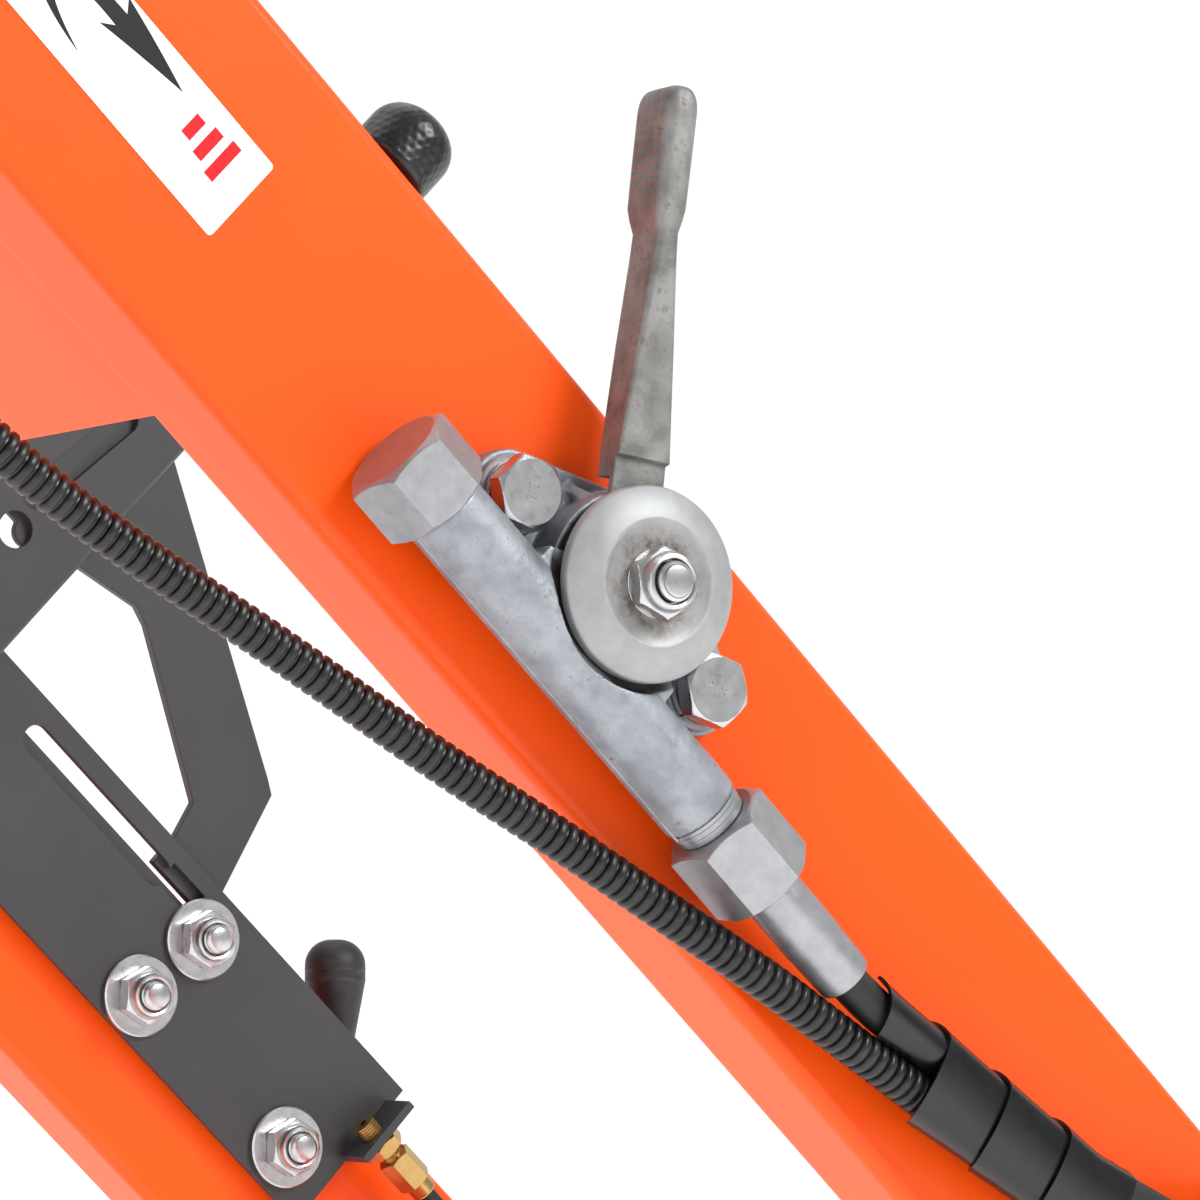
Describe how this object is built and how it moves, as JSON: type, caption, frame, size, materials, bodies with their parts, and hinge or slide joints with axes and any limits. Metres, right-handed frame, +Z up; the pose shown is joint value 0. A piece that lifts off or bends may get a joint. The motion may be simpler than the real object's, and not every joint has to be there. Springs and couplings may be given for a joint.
{
  "type": "compactor guide handle with hydraulic hand pump",
  "caption": "Sloping two-leg guide handle with a rack-and-pinion hydraulic hand pump, control lever, hose, cable conduit and slotted side brackets.",
  "frame": {"origin": "middle of the lower pivot tube, on its axis, half-way between the two legs", "axes": "+Z up with the handle in its working slope, +Y along the pivot axis from the leg that carries the pump to the other leg, +X the way the legs run down"},
  "size_m": [0.5073, 0.5256, 0.4668],
  "materials": {
    "orange_paint": "gloss",
    "black_paint": "satin",
    "cast_aluminium": "sand cast",
    "turned_steel": "turned",
    "zinc_plate": "zinc plated",
    "brass": "turned",
    "black_plastic": "moulded",
    "rubber": "matt",
    "label_film": "gloss"
  },
  "bodies": {
    "root": {"adjuster_lock_nut": "brass", "backing_plate": "black_paint", "brace_arm": "black_paint", "bridge_plate": "orange_paint", "buffer_post": "black_paint", "bulkhead_screws": "zinc_plate", "cable_adjuster": "brass", "cable_anchor": "black_paint", "conduit_gland_lower": "black_plastic", "conduit_gland_upper": "black_plastic", "conduit_tab": "orange_paint", "corrugated_conduit": "black_plastic", "direction_label": "label_film", "far_leg": "orange_paint", "gear_cover": "turned_steel", "hose_bulkhead_union": "zinc_plate", "hose_ferrule": "zinc_plate", "hose_union_nut": "zinc_plate", "hydraulic_hose": "rubber", "knob_stud": "zinc_plate", "leg_end_plugs": "black_plastic", "line_bulkhead": "zinc_plate", "near_leg": "orange_paint", "pivot_tube": "orange_paint", "plate_nuts": "zinc_plate", "plate_studs": "zinc_plate", "plate_washers": "zinc_plate", "port_adapter": "zinc_plate", "pump_body": "cast_aluminium", "pump_bolts": "zinc_plate", "pump_flat_washers": "zinc_plate", "pump_spring_washers": "zinc_plate", "pump_weld_nuts": "zinc_plate", "rubber_buffer": "rubber", "slot_strip": "black_paint", "slotted_plate": "black_paint", "spiral_wrap": "black_plastic", "stand_bolts": "zinc_plate", "stand_bracket": "black_paint", "stand_spacers": "black_paint", "throttle_cable": "rubber", "tube_end_cap": "zinc_plate", "upper_bushes": "orange_paint"},
    "lever": {"control_lever": "cast_aluminium", "cover_disc": "turned_steel", "lever_lock_nut": "zinc_plate", "pinion_shaft": "turned_steel"},
    "rack": {"rack_piston": "turned_steel", "piston_seals": "rubber"},
    "knob": {"cover_knob": "black_plastic"}
  },
  "joints": [
    {"name": "lever_turn", "type": "hinge", "parent": "root", "child": "lever", "pos_m": [-0.20424, -0.2435, 0.20313], "axis": [0, -1, 0], "range_deg": [-77, 1.5]},
    {"name": "rack_slide", "type": "slide", "parent": "root", "child": "rack", "axis": [0.7226, 0, -0.6913], "range_m": [-0.0264, 0.0007]},
    {"name": "knob_turn", "type": "hinge", "parent": "root", "child": "knob", "pos_m": [-0.25867, -0.2275, 0.30391], "axis": [0.6913, 0, 0.7226], "continuous": true}
  ],
  "couplings": [
    {"joint": "rack_slide", "follows": "lever_turn", "m_per_rad": 0.0195}
  ]
}
